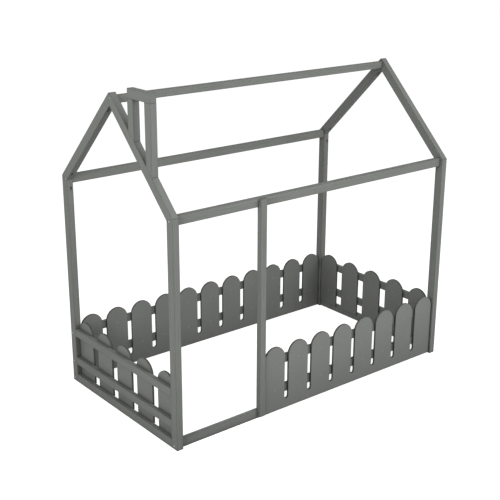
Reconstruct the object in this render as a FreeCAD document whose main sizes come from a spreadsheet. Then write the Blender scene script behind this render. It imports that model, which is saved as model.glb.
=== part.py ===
import FreeCAD, Part
import math
import os
import re
from typing import NamedTuple

import Sketcher

# A child's house frame bed that stands on the floor: two mitred gables, three roof beams, a chimney
# over one rafter, and a low picket fence round three and a half sides.
# Frame: X along the bed, the chimney's gable at -X; -Y is the side with the way in; +Z is up. The
# origin is on the floor, under the middle of the bed.

SIZES = {
    # The whole bed.
    "overall_length": 1990,
    "overall_width": 1080,
    "eave_height": 1264,
    "roof_pitch": 45,
    "ridge_blunt": 5,
    # Posts and rafters of the gables, and the posts of the chimney.
    "frame_thick": 38,
    "frame_wide": 50,
    # Roof beams between the gables.
    "beam_thick": 25,
    "beam_high": 50,
    "beam_rise": 6,
    "beam_setback": 20,
    "ridge_high": 41,
    "ridge_drop": 20,
    # Bottom rails, which stand on the floor.
    "sill_high": 50,
    # Fence rails.
    "rail_high": 46,
    "top_rail_rise": 180,
    "side_rail_base": 103,
    "end_rail_base": 116,
    # Fence panels: boards with arched pickets and slots between them.
    "panel_thick": 12,
    "panel_foot": 8,
    "panel_high": 392,
    "picket_wide": 145,
    "slot_foot": 57,
    "side_slot_least": 25,
    "end_slot_least": 50,
    "front_gap_near": 1,
    "front_gap_far": 8,
    "back_gap": 9.5,
    "end_gap": 13.5,
    # Post beside the way in.
    "entry_wide": 516,
    "mid_post_wide": 40,
    "mid_post_thick": 30,
    "mid_post_foot": 12,
    "mid_post_lap": 43,
    "rail_lap": 20,
    # Chimney.
    "chimney_set": 167,
    "chimney_deep": 202,
    "chimney_back_high": 164,
    "cap_high": 50,
    # Bolts and cross nuts that hold the beams and rails to the gables.
    "bolt_size": 6,
    "bolt_head": 13,
    "bolt_head_high": 5,
    "bolt_sink": 6,
    "bolt_long": 75,
    "nut_size": 10,
    "nut_long": 16,
    "nut_back": 30,
    "sill_bolt_up": 16,
    "ridge_bolt_down": 13,
    # Crossed screws in the mitres of the gables, also used under the chimney.
    "screw_size": 6,
    "screw_head": 11,
    "screw_head_high": 4,
    "screw_sink": 12,
    "screw_long": 75,
    "eave_screw_back": 56,
    "eave_screw_aim": 35,
    "apex_screw_back": 44,
    "apex_screw_aim": 19,
    "post_screw_in": 24,
    "rafter_screw_in": 14,
    "chimney_screw_sink": 22,
    # Short screws behind the middle post.
    "lap_screw_size": 5,
    "lap_screw_head": 9,
    "lap_screw_head_high": 3,
    "lap_screw_sink": 4,
    "lap_screw_long": 35,
    "lap_screw_gap": 20,
    # Dowels of the end rails and the chimney's cap.
    "dowel_size": 10,
    "dowel_long": 40,
    "sill_dowel_up": 36,
    # Extra width of every drilled hole, and extra depth of every blind one.
    "hole_ease": 0.5,
    "hole_deep": 2,
}

doc = FreeCAD.newDocument("HouseFrameBed")
sheet = doc.addObject("Spreadsheet::Sheet", "Sizes")
for row, (alias, size) in enumerate(SIZES.items(), start=1):
    sheet.set(f"A{row}", alias)
    sheet.set(f"B{row}", str(size))
    sheet.setAlias(f"B{row}", alias)
doc.recompute()

# The finished sub-parts, by node name.
pieces = {}

# Heights and places that several pieces share, as formulas of the sheet's words.
MITRE = "(90 - roof_pitch) / 2"
SLOPE = "tan(roof_pitch)"
EAVE_INNER = f"(eave_height - frame_wide * tan({MITRE}))"
APEX = f"(eave_height + overall_width / 2 * {SLOPE})"
APEX_INNER = f"({EAVE_INNER} + (overall_width / 2 - frame_wide) * {SLOPE})"
RIDGE = f"({APEX} - ridge_blunt)"
BEAM_TOP = "(eave_height + beam_rise)"
BEAM_BASE = f"({BEAM_TOP} - beam_high)"
RIDGE_BEAM_TOP = f"({APEX} - ridge_drop)"
INNER_LENGTH = "(overall_length - 2 * frame_thick)"
INNER_WIDTH = "(overall_width - 2 * frame_wide)"
MID_POST = "(frame_thick + entry_wide)"
MID_POST_TOP = f"({BEAM_BASE} + mid_post_lap)"
BACK_FRAME = "(overall_width - beam_thick)"
CAP_BASE = f"(eave_height + (chimney_set + chimney_deep) * {SLOPE} + chimney_back_high)"


def formula(text):
    """The sheet's words in a formula, written so that the document can evaluate it."""
    return re.sub(r"[a-z_]+", lambda word: f"Sizes.{word[0]}" if word[0] in SIZES else word[0], text)


def value(text):
    """Number that a formula gives now."""
    return float(sheet.evalExpression(formula(text)))


def bind(target, name, text):
    """Tie one property of an object to a formula."""
    target.setExpression(name, formula(text))


def place(target, spot):
    """Tie an object's position to a spot, counted from the bed's outer corner at -X, -Y, floor."""
    x, y, z = spot
    bind(target, "Placement.Base.x", f"({x}) - overall_length / 2")
    bind(target, "Placement.Base.y", f"({y}) - overall_width / 2")
    bind(target, "Placement.Base.z", z)


# --- Directions and slim tools ------------------------------------------------------------------

# Fixings repeat a hundred times and hide in the wood, so they are drawn with few sides.
SHANK_SIDES = 6
HEAD_SIDES = 8


class Heading(NamedTuple):
    """A direction: +Z turned about an axis, and the formulas of its unit steps along X, Y and Z."""

    axis: tuple
    angle: str
    steps: tuple


def tilted(angle, side=1):
    """Direction in a gable's plane that leans from +Z towards the front, or for side -1 the back."""
    return Heading((side, 0, 0), angle, ("0", f"{-side} * sin({angle})", f"cos({angle})"))


RIGHTWARD = Heading((0, 1, 0), "90", ("1", "0", "0"))
LEFTWARD = Heading((0, -1, 0), "90", ("-1", "0", "0"))
FORWARD = tilted("90")
BACKWARD = tilted("90", -1)
UPWARD = tilted("0")


def rod(name, diameter, spot, heading, start, end, sides=SHANK_SIDES):
    """Slim bar with a few sides, between two distances along a heading from a spot."""
    bar = doc.addObject("Part::Prism", name)
    bar.Polygon = sides
    bind(bar, "Circumradius", f"({diameter}) / 2")
    bind(bar, "Height", f"({end}) - ({start})")
    bar.Placement.Rotation = FreeCAD.Rotation(FreeCAD.Vector(*heading.axis), 1)
    bind(bar, "Placement.Rotation.Angle", heading.angle)
    place(bar, [f"({at}) + ({start}) * ({step})" for at, step in zip(spot, heading.steps)])
    return bar


def joined(name, shapes):
    """Several tools as one."""
    if len(shapes) == 1:
        return shapes[0]
    union = doc.addObject("Part::MultiFuse", name)
    union.Shapes = shapes
    return union


class Kind(NamedTuple):
    """A kind of headed fixing: the sheet's words for its sizes."""

    shank: str
    head: str
    head_high: str
    sink: str
    long: str


BOLT = Kind("bolt_size", "bolt_head", "bolt_head_high", "bolt_sink", "bolt_long")
SCREW = Kind("screw_size", "screw_head", "screw_head_high", "screw_sink", "screw_long")
CHIMNEY_SCREW = SCREW._replace(sink="chimney_screw_sink")
LAP_SCREW = Kind(
    "lap_screw_size", "lap_screw_head", "lap_screw_head_high", "lap_screw_sink", "lap_screw_long"
)


class Fixing:
    """A headed fixing sunk into a face, and the stepped hole that it goes in."""

    def __init__(self, name, kind, spot, heading):
        self.name = name
        self.kind = kind
        self.spot = spot
        self.heading = heading

    def solid(self):
        """Head and shank; the head's seat is the recess's floor."""
        kind = self.kind
        seat = kind.sink
        top = f"{seat} - {kind.head_high}"
        head = rod(self.name + "_head", kind.head, self.spot, self.heading, top, seat, HEAD_SIDES)
        tip = f"{seat} + {kind.long}"
        shank = rod(self.name + "_shank", kind.shank, self.spot, self.heading, seat, tip)
        return joined(self.name, [head, shank])

    def hole(self):
        """Recess from outside the face down to the seat, then the shank's hole."""
        kind = self.kind
        room = f"{kind.head} + hole_ease"
        outside = f"-{kind.head}"
        wide = rod(self.name + "_recess", room, self.spot, self.heading, outside, kind.sink, HEAD_SIDES)
        tight = f"{kind.shank} + hole_ease"
        depth = f"{kind.sink} + {kind.long} + hole_deep"
        narrow = rod(self.name + "_bore", tight, self.spot, self.heading, kind.sink, depth)
        return joined(self.name + "_hole", [wide, narrow])


class Dowel:
    """A dowel centred on the face where two pieces meet, and its hole."""

    def __init__(self, name, spot, heading):
        self.name = name
        self.spot = spot
        self.heading = heading

    def draw(self, name):
        """Rod that goes equally far into both pieces."""
        half = "dowel_long / 2"
        return rod(name, "dowel_size", self.spot, self.heading, f"-{half}", half)

    def solid(self):
        """The dowel itself."""
        return self.draw(self.name)

    def hole(self):
        """The hole of the same width in both pieces."""
        return self.draw(self.name + "_hole")


# --- Blanks -------------------------------------------------------------------------------------


def stick(name, spot, size):
    """Straight sawn stick, square at both ends."""
    box = doc.addObject("Part::Box", name)
    for side, text in zip(("Length", "Width", "Height"), size):
        bind(box, side, text)
    place(box, spot)
    return box


def sketch_on(body, role, name):
    """Sketch on one of the body's own origin planes."""
    sketch = body.newObject("Sketcher::SketchObject", name)
    plane = next(feature for feature in body.Origin.OriginFeatures if feature.Role == role)
    sketch.AttachmentSupport = (plane, [""])
    sketch.MapMode = "FlatFace"
    return sketch


def hold(sketch, kind, where, text):
    """Constraint of a sketch whose size is a formula."""
    number = sketch.addConstraint(Sketcher.Constraint(kind, *where, value(text)))
    bind(sketch, f"Constraints[{number}]", text)


def pin_point(sketch, curve, end, corner):
    """Hold one end of a curve at a corner given by two formulas."""
    hold(sketch, "DistanceX", (-1, 1, curve, end), corner[0])
    hold(sketch, "DistanceY", (-1, 1, curve, end), corner[1])


def draw_polygon(sketch, corners):
    """Closed outline of straight lines through corners that are formulas."""
    points = [FreeCAD.Vector(value(across), value(up), 0) for across, up in corners]
    count = len(points)
    for number, point in enumerate(points):
        sketch.addGeometry(Part.LineSegment(point, points[(number + 1) % count]), False)
    for number in range(count):
        sketch.addConstraint(Sketcher.Constraint("Coincident", number, 2, (number + 1) % count, 1))
    for number, corner in enumerate(corners):
        pin_point(sketch, number, 1, corner)


def draw_arc(sketch, centre, radius, first, last):
    """Half circle about a centre, from one angle to another in radians; returns its number."""
    middle = FreeCAD.Vector(value(centre[0]), value(centre[1]), 0)
    circle = Part.Circle(middle, FreeCAD.Vector(0, 0, 1), value(radius))
    number = sketch.addGeometry(Part.ArcOfCircle(circle, first, last), False)
    pin_point(sketch, number, 3, centre)
    hold(sketch, "Radius", (number,), radius)
    return number


def add_line(sketch, start, end):
    """Line between two corners that are formulas; returns its number."""
    points = [FreeCAD.Vector(value(across), value(up), 0) for across, up in (start, end)]
    return sketch.addGeometry(Part.LineSegment(*points), False)


def pad(body, sketch, thickness, name):
    """Pad of a sketch by a formula."""
    feature = body.newObject("PartDesign::Pad", name)
    feature.Profile = sketch
    bind(feature, "Length", thickness)
    return feature


def profile_bar(name, spot, corners, thickness="frame_thick"):
    """Member cut from a board: an outline in the YZ plane, padded along X."""
    body = doc.addObject("PartDesign::Body", name)
    sketch = sketch_on(body, "YZ_Plane", name + "_outline")
    draw_polygon(sketch, corners)
    pad(body, sketch, thickness, name + "_pad")
    place(body, spot)
    return body


def repeat(body, feature, sketch, count, pitch, name):
    """The same feature again at even steps along the sketch's own X."""
    pattern = body.newObject("PartDesign::LinearPattern", name)
    pattern.Originals = [feature]
    pattern.Direction = (sketch, ["H_Axis"])
    bind(pattern, "Length", f"({count} - 1) * ({pitch})")
    bind(pattern, "Occurrences", count)
    body.Tip = pattern
    return pattern


def fence_panel(label, role, length, least_slot, spot):
    """One-piece fence board: arched picket tops, and slots with round bottoms between the pickets.

    It has as many pickets as its length allows, evenly spread. It stands on its sketch plane, and its
    thickness goes along the plane's normal.
    """
    body = doc.addObject("PartDesign::Body", label)
    pickets = f"floor(({length} + {least_slot}) / (picket_wide + {least_slot}))"
    slot = f"(({length} - {pickets} * picket_wide) / ({pickets} - 1))"
    pitch = f"(picket_wide + {slot})"
    spring = "(panel_high - picket_wide / 2)"

    board = sketch_on(body, role, label + "_board")
    draw_polygon(board, [("0", "0"), (length, "0"), (length, spring), ("0", spring)])
    pad(body, board, "panel_thick", label + "_board_pad")

    arch = sketch_on(body, role, label + "_arch")
    crown = draw_arc(arch, ("picket_wide / 2", spring), "picket_wide / 2", 0, math.pi)
    chord = add_line(arch, ("0", spring), ("picket_wide", spring))
    arch.addConstraint(Sketcher.Constraint("Coincident", crown, 2, chord, 1))
    arch.addConstraint(Sketcher.Constraint("Coincident", crown, 1, chord, 2))
    arch.addConstraint(Sketcher.Constraint("Horizontal", chord))
    hold(arch, "DistanceY", (-1, 1, chord, 1), spring)
    top = pad(body, arch, "panel_thick", label + "_arch_pad")
    doc.recompute()
    repeat(body, top, arch, pickets, pitch, label + "_arches")

    gap = sketch_on(body, role, label + "_slot")
    low = f"slot_foot + {slot} / 2"
    left, right = "picket_wide", f"picket_wide + {slot}"
    bottom = draw_arc(gap, (f"picket_wide + {slot} / 2", low), f"{slot} / 2", math.pi, 2 * math.pi)
    near = add_line(gap, (left, low), (left, "panel_high"))
    across = add_line(gap, (left, "panel_high"), (right, "panel_high"))
    far = add_line(gap, (right, "panel_high"), (right, low))
    gap.addConstraint(Sketcher.Constraint("Tangent", bottom, 1, near, 1))
    gap.addConstraint(Sketcher.Constraint("Tangent", bottom, 2, far, 2))
    gap.addConstraint(Sketcher.Constraint("Coincident", near, 2, across, 1))
    gap.addConstraint(Sketcher.Constraint("Coincident", across, 2, far, 1))
    gap.addConstraint(Sketcher.Constraint("Vertical", near))
    gap.addConstraint(Sketcher.Constraint("Vertical", far))
    gap.addConstraint(Sketcher.Constraint("Horizontal", across))
    hold(gap, "DistanceY", (-1, 1, near, 2), "panel_high")
    doc.recompute()
    whole = body.Shape.Volume
    cut = body.newObject("PartDesign::Pocket", label + "_slot_cut")
    cut.Profile = gap
    cut.Type = "ThroughAll"
    cut.Reversed = True
    doc.recompute()
    if cut.Shape.Volume >= whole:
        raise RuntimeError(f"{label}: the slot cuts nothing")
    repeat(body, cut, gap, f"({pickets} - 1)", pitch, label + "_slots")
    place(body, spot)
    return body


def finish(label, blank, drills=()):
    """Name a piece, with the holes of its fixings cut out of its blank."""
    piece = blank
    if drills:
        piece = doc.addObject("Part::Cut", label + "_drilled")
        piece.Base = blank
        piece.Tool = joined(label + "_holes", list(drills))
    piece.Label = label
    pieces[label] = piece


def group(label, solids):
    """Several loose pieces of the same kind under one name."""
    piece = doc.addObject("Part::Compound", label)
    piece.Links = solids
    piece.Label = label
    pieces[label] = piece


# --- Places of the pieces -----------------------------------------------------------------------

# Where each gable's -X face is, where its outside face is, and the way from there into the bed.
GABLES = {
    "left": ("0", "0", RIGHTWARD),
    "right": ("overall_length - frame_thick", "overall_length", LEFTWARD),
}
# Front and back are mirror images in a gable: the sign turns a heading over.
SIDES = {"front": 1, "back": -1}

# How far the crossed screws lean from upright.
EAVE_LEAN = f"atan(eave_screw_aim * cos({MITRE}) / (eave_screw_back + eave_screw_aim * sin({MITRE})))"
EAVE_LEAN_OVER = f"(90 deg + roof_pitch * 1 deg - {EAVE_LEAN})"
APEX_LEAN = "atan(apex_screw_back * cos(roof_pitch) / (apex_screw_back * sin(roof_pitch) + apex_screw_aim))"

RAIL_LEVELS = {"middle": "0", "top": "top_rail_rise"}
FRONT_LINE = "beam_setback"
BACK_EAVE_LINE = "overall_width - beam_setback - beam_thick"
RIDGE_LINE = "(overall_width - beam_thick) / 2"
CHIMNEY_POSTS = {"front": "chimney_set", "back": "(chimney_set + chimney_deep - frame_wide)"}

blanks = {}
holes = {}


def side_of(side, distance):
    """Formula of the Y at a distance in from the front, or for the back side in from the back."""
    return distance if side == "front" else f"overall_width - ({distance})"


def bore(fixing, *labels):
    """Cut a fixing's hole in the pieces that it passes through or ends in."""
    cut = fixing.hole()
    for label in labels:
        holes.setdefault(label, []).append(cut)


def gable_members():
    """Posts and rafters: mitred at the eaves, plumb cut under the ridge."""
    post = [("0", "0"), ("frame_wide", "0"), ("frame_wide", EAVE_INNER), ("0", "eave_height")]
    rafter = [
        ("0", "eave_height"),
        ("frame_wide", EAVE_INNER),
        ("overall_width / 2", APEX_INNER),
        ("overall_width / 2", RIDGE),
        (f"overall_width / 2 - ridge_blunt / {SLOPE}", RIDGE),
    ]
    for gable, (near_face, _, _) in GABLES.items():
        for side in SIDES:
            for kind, corners in (("post", post), ("rafter", rafter)):
                label = f"{kind}_{side}_{gable}"
                turned = [(side_of(side, along), up) for along, up in corners]
                blanks[label] = profile_bar(label + "_blank", (near_face, "0", "0"), turned)


def joint_screws():
    """Two crossed screws in every mitre, let in from the inner faces."""
    eave, apex = [], []
    for gable, (near_face, _, _) in GABLES.items():
        in_post = f"{near_face} + post_screw_in"
        in_rafter = f"{near_face} + rafter_screw_in"
        for side, sign in SIDES.items():
            post_spot = (in_post, side_of(side, "frame_wide"), f"{EAVE_INNER} - eave_screw_back")
            rafter_spot = (
                in_rafter,
                side_of(side, "frame_wide + eave_screw_back * cos(roof_pitch)"),
                f"{EAVE_INNER} + eave_screw_back * sin(roof_pitch)",
            )
            name = f"{side}_{gable}"
            pair = (
                Fixing(f"eave_screw_up_{name}", SCREW, post_spot, tilted(EAVE_LEAN, sign)),
                Fixing(f"eave_screw_down_{name}", SCREW, rafter_spot, tilted(EAVE_LEAN_OVER, sign)),
            )
            for screw in pair:
                bore(screw, f"post_{name}", f"rafter_{name}")
                eave.append(screw.solid())
            apex_spot = (
                in_post if side == "front" else in_rafter,
                side_of(side, "overall_width / 2 - apex_screw_back * cos(roof_pitch)"),
                f"{APEX_INNER} - apex_screw_back * sin(roof_pitch)",
            )
            screw = Fixing(f"apex_screw_{name}", SCREW, apex_spot, tilted(APEX_LEAN, -sign))
            bore(screw, f"rafter_front_{gable}", f"rafter_back_{gable}")
            apex.append(screw.solid())
    group("eave_joint_screws", eave)
    group("apex_joint_screws", apex)


class Stick(NamedTuple):
    """A stick along the bed: where it starts, its line and level, and the bolts in its ends."""

    start: str
    line: str
    base: str
    high: str
    bolt_up: str
    ends: tuple
    holders: tuple
    set_name: str


def long_sticks():
    """Beams, bottom rails and fence rails that run along the bed."""
    both = ("left", "right")
    beam_middle = "beam_high / 2"
    rail_middle = "rail_high / 2"
    sticks = {
        "eave_beam_front": Stick(
            "frame_thick",
            FRONT_LINE,
            BEAM_BASE,
            "beam_high",
            beam_middle,
            both,
            ("post_front", "rafter_front"),
            "beam",
        ),
        "eave_beam_back": Stick(
            "frame_thick",
            BACK_EAVE_LINE,
            BEAM_BASE,
            "beam_high",
            beam_middle,
            both,
            ("post_back", "rafter_back"),
            "beam",
        ),
        "ridge_beam": Stick(
            "frame_thick",
            RIDGE_LINE,
            f"{RIDGE_BEAM_TOP} - ridge_high",
            "ridge_high",
            "ridge_high - ridge_bolt_down",
            both,
            ("rafter_front", "rafter_back"),
            "beam",
        ),
        "sill_front": Stick(
            "frame_thick", FRONT_LINE, "0", "sill_high", "sill_bolt_up", both, ("post_front",), "sill"
        ),
        "sill_back": Stick(
            "frame_thick", BACK_FRAME, "0", "sill_high", "sill_bolt_up", both, ("post_back",), "sill"
        ),
    }
    for level, rise in RAIL_LEVELS.items():
        base = f"side_rail_base + {rise}"
        lapped = f"{MID_POST} + mid_post_wide - rail_lap"
        sticks[f"rail_back_{level}"] = Stick(
            "frame_thick", BACK_FRAME, base, "rail_high", rail_middle, both, ("post_back",), "rail"
        )
        sticks[f"rail_front_{level}"] = Stick(
            lapped, FRONT_LINE, base, "rail_high", rail_middle, ("right",), ("post_front",), "rail"
        )
    bolts, nuts = {}, {}
    for label, bar in sticks.items():
        length = f"overall_length - frame_thick - ({bar.start})"
        size = (length, "beam_thick", bar.high)
        blanks[label] = stick(label + "_blank", (bar.start, bar.line, bar.base), size)
        for end in bar.ends:
            _, outside, inward = GABLES[end]
            middle = f"{bar.line} + beam_thick / 2"
            up = f"{bar.base} + {bar.bolt_up}"
            bolt = Fixing(f"{label}_bolt_{end}", BOLT, (outside, middle, up), inward)
            bore(bolt, label, *(f"{holder}_{end}" for holder in bar.holders))
            fastener = bolt.solid()
            bolts.setdefault(bar.set_name, []).append(fastener)
            nut_spot = (f"{outside} + {inward.steps[0]} * (frame_thick + nut_back)", middle, up)
            nut_name = f"{label}_nut_{end}"
            half = "nut_long / 2"
            blank = rod(nut_name + "_blank", "nut_size", nut_spot, BACKWARD, f"-{half}", half)
            nut = doc.addObject("Part::Cut", nut_name)
            nut.Base = blank
            nut.Tool = fastener
            nuts.setdefault(bar.set_name, []).append(nut)
            room = "nut_size + hole_ease"
            well = rod(nut_name + "_well", room, nut_spot, BACKWARD, f"-{half}", "beam_thick")
            holes[label].append(well)
    for set_name in bolts:
        group(f"{set_name}_bolts", bolts[set_name])
        group(f"{set_name}_cross_nuts", nuts[set_name])


def end_sticks():
    """Bottom rails and fence rails between the posts of each gable, doweled to the posts."""
    dowels = []
    for gable, start in (("left", "0"), ("right", "overall_length - beam_thick")):
        levels = {f"sill_{gable}": ("0", "sill_high", "sill_dowel_up")}
        for level, rise in RAIL_LEVELS.items():
            levels[f"rail_{gable}_{level}"] = (f"end_rail_base + {rise}", "rail_high", "rail_high / 2")
        for label, (base, high, dowel_up) in levels.items():
            blanks[label] = stick(
                label + "_blank", (start, "frame_wide", base), ("beam_thick", INNER_WIDTH, high)
            )
            for side in SIDES:
                spot = (f"{start} + beam_thick / 2", side_of(side, "frame_wide"), f"{base} + {dowel_up}")
                dowel = Dowel(f"{label}_dowel_{side}", spot, BACKWARD)
                bore(dowel, label, f"post_{side}_{gable}")
                dowels.append(dowel.solid())
    group("end_rail_dowels", dowels)


def middle_post():
    """Post beside the way in: halved over the front sill and beam, let over the rail ends."""
    corners = [
        ("0", "mid_post_foot"),
        ("beam_setback", "mid_post_foot"),
        ("beam_setback", "sill_high"),
        ("mid_post_thick", "sill_high"),
        ("mid_post_thick", BEAM_BASE),
        ("beam_setback", BEAM_BASE),
        ("beam_setback", MID_POST_TOP),
        ("0", MID_POST_TOP),
    ]
    blanks["middle_post"] = profile_bar("middle_post_blank", (MID_POST, "0", "0"), corners, "mid_post_wide")
    rails = [f"rail_front_{level}" for level in RAIL_LEVELS]
    holes["middle_post"] = [blanks[rail] for rail in rails]

    centre = f"{MID_POST} + mid_post_wide / 2"
    over_rail = f"{MID_POST} + mid_post_wide - rail_lap / 2"
    spots = []
    for label, up in (
        ("sill_front", "(mid_post_foot + sill_high) / 2"),
        ("eave_beam_front", f"{BEAM_BASE} + mid_post_lap / 2"),
    ):
        for step in ("-", "+"):
            spots.append((label, f"{centre} {step} lap_screw_gap / 2", up))
    for rail, rise in zip(rails, RAIL_LEVELS.values()):
        spots.append((rail, over_rail, f"side_rail_base + {rise} + rail_high / 2"))
    screws = []
    for number, (label, across, up) in enumerate(spots, start=1):
        spot = (across, "beam_setback + beam_thick", up)
        screw = Fixing(f"middle_post_screw_{number}", LAP_SCREW, spot, FORWARD)
        bore(screw, label, "middle_post")
        screws.append(screw.solid())
    group("middle_post_screws", screws)


def fence():
    """The four panels, each on the inner or outer face of its rails."""
    front = f"({MID_POST} + mid_post_wide + front_gap_near)"
    front_length = f"(overall_length - frame_thick - front_gap_far - {front})"
    back_length = f"({INNER_LENGTH} - 2 * back_gap)"
    end_length = f"({INNER_WIDTH} - 2 * end_gap)"
    across = "frame_wide + end_gap"
    far_end = "overall_length - beam_thick - panel_thick"
    panels = {
        "front": ("XZ_Plane", front_length, "side_slot_least", (front, FRONT_LINE)),
        "back": ("XZ_Plane", back_length, "side_slot_least", ("frame_thick + back_gap", BACK_FRAME)),
        "left": ("YZ_Plane", end_length, "end_slot_least", ("beam_thick", across)),
        "right": ("YZ_Plane", end_length, "end_slot_least", (far_end, across)),
    }
    for side, (role, length, least_slot, place_on_floor) in panels.items():
        label = f"fence_panel_{side}"
        spot = (*place_on_floor, "panel_foot")
        blanks[label] = fence_panel(label + "_board", role, length, least_slot, spot)


def chimney():
    """Two posts with feet cut to the rafter's slope, and a cap laid across them."""
    blanks["chimney_cap"] = stick(
        "chimney_cap_blank", ("0", "chimney_set", CAP_BASE), ("frame_thick", "chimney_deep", "cap_high")
    )
    screws, dowels = [], []
    for side, start in CHIMNEY_POSTS.items():
        label = f"chimney_post_{side}"
        foot = f"eave_height + {start} * {SLOPE}"
        corners = [
            ("0", foot),
            ("frame_wide", f"{foot} + frame_wide * {SLOPE}"),
            ("frame_wide", CAP_BASE),
            ("0", CAP_BASE),
        ]
        blanks[label] = profile_bar(label + "_blank", ("0", start, "0"), corners)
        middle = ("frame_thick / 2", f"{start} + frame_wide / 2")
        under = f"{EAVE_INNER} + ({start} - frame_wide / 2) * {SLOPE}"
        screw = Fixing(f"chimney_screw_{side}", CHIMNEY_SCREW, (*middle, under), UPWARD)
        bore(screw, label, "rafter_front_left")
        screws.append(screw.solid())
        dowel = Dowel(f"chimney_dowel_{side}", (*middle, CAP_BASE), UPWARD)
        bore(dowel, label, "chimney_cap")
        dowels.append(dowel.solid())
    group("chimney_screws", screws)
    group("chimney_dowels", dowels)


def check(piece):
    """Stop on a piece that failed, is empty or isn't a valid solid."""
    shape = piece.Shape
    if shape.isNull() or not shape.isValid() or not shape.Solids:
        raise RuntimeError(f"{piece.Label}: no valid solid")


gable_members()
joint_screws()
long_sticks()
end_sticks()
middle_post()
fence()
chimney()
for label, blank in blanks.items():
    finish(label, blank, holes.get(label, ()))

doc.recompute()
failed = [item.Label for item in doc.Objects if {"Invalid", "Error"} & set(item.State)]
if failed:
    raise RuntimeError(f"failed: {failed}")

os.makedirs("parts", exist_ok=True)
for label, piece in pieces.items():
    check(piece)
    piece.Shape.exportStep(f"parts/{label}.step")
print(f"{len(pieces)} nodes, {sum(len(piece.Shape.Solids) for piece in pieces.values())} solids")
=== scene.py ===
"""House frame bed: paint, board and metal finishes, turned fasteners, studio light and camera.

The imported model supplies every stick, panel and fixing in metres: X along the bed, -Y the side with the
way in, Z up, origin on the floor under the middle. This script dresses those nodes, swaps the plain
fixings for turned ones in the same places, saws the end fences into separate pickets, adds the small
screws of the fence, and sets up the picture.
"""

import logging
import math
from collections.abc import Callable, Iterator
from dataclasses import dataclass, field
from enum import Enum

import bmesh
import bpy
from mathutils import Euler, Matrix, Vector


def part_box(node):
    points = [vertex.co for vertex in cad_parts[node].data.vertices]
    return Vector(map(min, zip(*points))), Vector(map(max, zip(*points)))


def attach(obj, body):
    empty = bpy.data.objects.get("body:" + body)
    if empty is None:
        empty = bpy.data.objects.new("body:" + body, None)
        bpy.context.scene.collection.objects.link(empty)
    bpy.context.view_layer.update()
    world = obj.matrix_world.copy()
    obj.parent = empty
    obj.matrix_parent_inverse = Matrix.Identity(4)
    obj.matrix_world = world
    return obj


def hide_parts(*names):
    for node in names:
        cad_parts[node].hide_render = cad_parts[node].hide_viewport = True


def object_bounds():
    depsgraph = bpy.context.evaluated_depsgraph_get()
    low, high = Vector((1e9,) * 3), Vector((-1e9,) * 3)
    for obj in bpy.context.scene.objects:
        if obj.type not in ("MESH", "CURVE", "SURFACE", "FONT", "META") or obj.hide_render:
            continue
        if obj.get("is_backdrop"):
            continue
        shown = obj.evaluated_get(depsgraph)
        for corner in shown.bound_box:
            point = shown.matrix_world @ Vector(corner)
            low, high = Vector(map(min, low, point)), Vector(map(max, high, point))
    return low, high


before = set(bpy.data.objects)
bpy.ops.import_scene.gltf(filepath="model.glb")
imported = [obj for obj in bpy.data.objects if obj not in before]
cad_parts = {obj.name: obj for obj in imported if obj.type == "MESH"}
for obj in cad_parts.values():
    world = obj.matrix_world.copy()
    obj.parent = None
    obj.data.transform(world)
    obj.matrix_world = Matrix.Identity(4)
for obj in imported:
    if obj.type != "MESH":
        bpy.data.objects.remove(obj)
packed_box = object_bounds()

log = logging.getLogger("house_bed")

Socket = bpy.types.NodeSocket
Material = bpy.types.Material
Solid = bmesh.types.BMesh
Piece = bpy.types.Object
Maker = Callable[[float], Solid]
Pair = tuple[float, float]
Triple = tuple[float, float, float]

MM = 0.001
BODY = "root"
SAME_POINT = 0.01 * MM
SAME_FACE = 0.1 * MM
ROUND_FACES = math.radians(32)
OVERCUT_MM = 1.0


class Run(Enum):
    """Direction in which a stick runs, as the turn that lays the run on the finish's Z axis."""

    ALONG_BED = (0.0, math.radians(-90), 0.0)
    ACROSS_BED = (math.radians(90), 0.0, 0.0)
    UPRIGHT = (0.0, 0.0, 0.0)
    FRONT_SLOPE = (math.radians(45), 0.0, 0.0)
    BACK_SLOPE = (math.radians(-45), 0.0, 0.0)

    @property
    def direction(self) -> Vector:
        """Unit vector along the stick in the frame of the bed."""
        return Euler(self.value).to_matrix().inverted() @ Vector((0.0, 0.0, 1.0))


class Side(Enum):
    """Side of the bed that a fence panel stands on."""

    FRONT = "front"
    BACK = "back"
    LEFT = "left"
    RIGHT = "right"

    @property
    def facing(self) -> Vector:
        """Direction that the panel's screw heads face: outwards at the front, inwards elsewhere."""
        directions = {"left": (1.0, 0.0, 0.0), "right": (-1.0, 0.0, 0.0)}
        return Vector(directions.get(self.value, (0.0, -1.0, 0.0)))


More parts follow.
